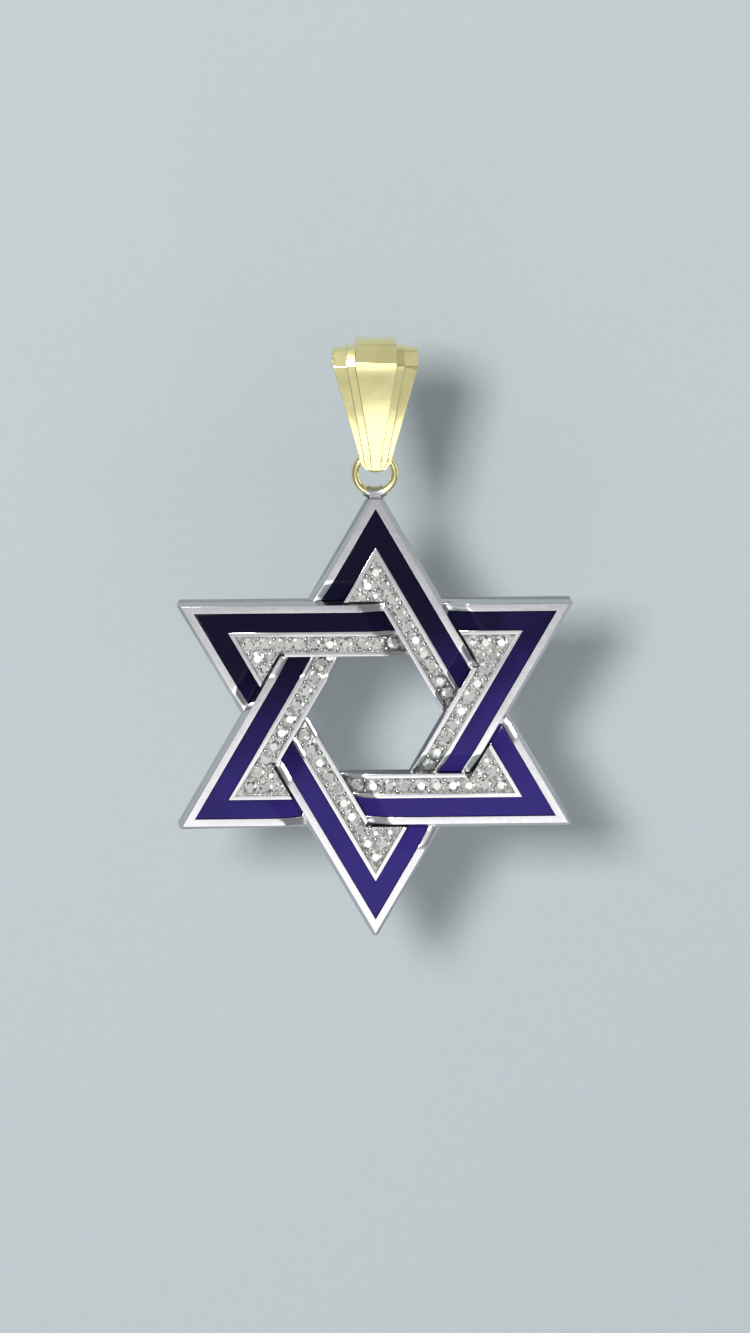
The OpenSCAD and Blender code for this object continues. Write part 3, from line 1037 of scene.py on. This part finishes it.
class PENDANT_OT_stage(bpy.types.Operator):
    """Lays the floor and backdrop, hangs the lights and sets up the camera"""

    bl_idname = "pendant.stage"
    bl_label = "Stage"

    def sweep(self, settings):
        """Pale paper that runs over the floor and up behind the pendant."""
        deselect()
        width, front, high, bend = 1.2, 0.9, 0.75, 0.05
        bpy.ops.mesh.primitive_plane_add(size=1.0, location=(0, 0, 0))
        paper = bpy.context.object
        paper.name = paper.data.name = "backdrop_sweep"
        paper.scale = (width, front, 1)
        paper.location = (0, settings.wall - bend - front / 2, -settings.floor)
        settle(paper)
        corners = paper.data.vertices
        back = max(v.co.y for v in corners)
        choose(paper, "EDGE", lambda edge: all(corners[i].co.y > back - 1e-6 for i in edge.vertices))
        bpy.ops.mesh.spin(
            steps=24, angle=math.pi / 2, center=(0, back, -settings.floor + bend), axis=(-1, 0, 0)
        )
        bpy.ops.mesh.extrude_region_move(TRANSFORM_OT_translate={"value": (0, 0, high)})
        leave()
        edit(paper)
        bpy.ops.mesh.remove_doubles(threshold=0.00001)
        bpy.ops.mesh.normals_make_consistent(inside=False)
        leave()
        if min(paper.data.polygons, key=lambda f: f.center.z).normal.z < 0:
            edit(paper)
            bpy.ops.mesh.flip_normals()
            leave()
        smooth(paper, 60)
        dress(paper, stage_finish(settings))
        return paper

    def light(self, name, place, target, size, power):
        """Hangs a white area light of that width and height and aims it."""
        lamp = bpy.data.lights.new(name, "AREA")
        lamp.shape = "RECTANGLE"
        lamp.size, lamp.size_y = size
        lamp.energy = power
        holder = bpy.data.objects.new(name, lamp)
        bpy.context.scene.collection.objects.link(holder)
        holder.location = place
        holder.rotation_euler = (Vector(target) - Vector(place)).to_track_quat("-Z", "Y").to_euler()

    def light_room(self, scene, settings):
        """The soft light from all round."""
        world = bpy.data.worlds.new("studio")
        scene.world = world
        world.use_nodes = True
        sky = world.node_tree.nodes["Background"]
        sky.inputs["Color"].default_value = (*settings.room, 1.0)
        sky.inputs["Strength"].default_value = settings.world

    def place_camera(self, scene, settings, middle):
        """A long lens that looks down a little at the pendant."""
        lens = bpy.data.cameras.new("camera")
        lens.lens = settings.lens
        lens.sensor_width = 36.0
        lens.clip_start, lens.clip_end = 0.01, 10.0
        camera = bpy.data.objects.new("camera", lens)
        scene.collection.objects.link(camera)
        a, e = settings.azimuth, settings.elevation
        away = Vector((math.sin(a) * math.cos(e), -math.cos(a) * math.cos(e), math.sin(e)))
        distance = settings.frame_height / 2 / (lens.sensor_width / 2 / lens.lens)
        up = Vector((0, 0, 1)) - away * away.z
        target = Vector((0, 0, middle.z)) - up.normalized() * settings.shift
        camera.location = target + away * distance
        camera.rotation_euler = (-away).to_track_quat("-Z", "Y").to_euler()
        scene.camera = camera

    def execute(self, context):
        scene = context.scene
        settings = scene.pendant_stage
        low, high = cad_box
        middle = (low + high) / 2
        self.sweep(settings)
        self.light("key", (-0.125, -0.53, 0.12), middle, (0.08, 0.08), settings.key)
        self.light("sky", (-0.30, -0.20, 0.52), middle, (0.40, 0.40), settings.sky)
        self.light("card", (0.0, -0.50, -0.055), middle, (0.50, 0.15), settings.card)
        self.light("high", (0.0, -0.50, 0.245), middle, (0.50, 0.14), settings.high)
        self.light("fill", (0.0, -0.50, -0.27), middle, (0.50, 0.28), settings.fill)
        self.light("side", (0.48, -0.16, 0.05), middle, (0.10, 0.40), settings.side)
        self.light_room(scene, settings)
        self.place_camera(scene, settings, middle)
        scene.view_settings.view_transform = "Standard"
        return {"FINISHED"}


# Panel and registration

class PENDANT_PT_panel(bpy.types.Panel):
    """Settings and steps of the pendant"""

    bl_idname = "PENDANT_PT_panel"
    bl_label = "Woven Star Pendant"
    bl_space_type = "VIEW_3D"
    bl_region_type = "UI"
    bl_category = "Pendant"

    def draw(self, context):
        for group, steps in SECTIONS:
            box = self.layout.box()
            settings = getattr(context.scene, group)
            for name in settings.__annotations__:
                box.prop(settings, name)
            for step in steps:
                box.operator(step.bl_idname, text=step.bl_label)


SECTIONS = [
    ("pendant_metal", [PENDANT_OT_bail, PENDANT_OT_jump_ring, PENDANT_OT_star_frame]),
    ("pendant_enamel", [PENDANT_OT_enamel]),
    ("pendant_stones", [PENDANT_OT_stones, PENDANT_OT_beads]),
    ("pendant_stage", [PENDANT_OT_stage]),
]
GROUPS = {
    "pendant_metal": MetalSettings,
    "pendant_enamel": EnamelSettings,
    "pendant_stones": StoneSettings,
    "pendant_stage": StageSettings,
}
CLASSES = [*GROUPS.values(), *(step for _, steps in SECTIONS for step in steps), PENDANT_PT_panel]


def register():
    for item in CLASSES:
        bpy.utils.register_class(item)
    for name, group in GROUPS.items():
        setattr(bpy.types.Scene, name, PointerProperty(type=group))


def unregister():
    for name in GROUPS:
        delattr(bpy.types.Scene, name)
    for item in reversed(CLASSES):
        bpy.utils.unregister_class(item)


def main():
    register()
    bpy.ops.pendant.bail()
    bpy.ops.pendant.jump_ring()
    bpy.ops.pendant.star_frame()
    bpy.ops.pendant.enamel()
    bpy.ops.pendant.stones()
    bpy.ops.pendant.beads()
    bpy.ops.pendant.stage()


if __name__ == "__main__":
    main()
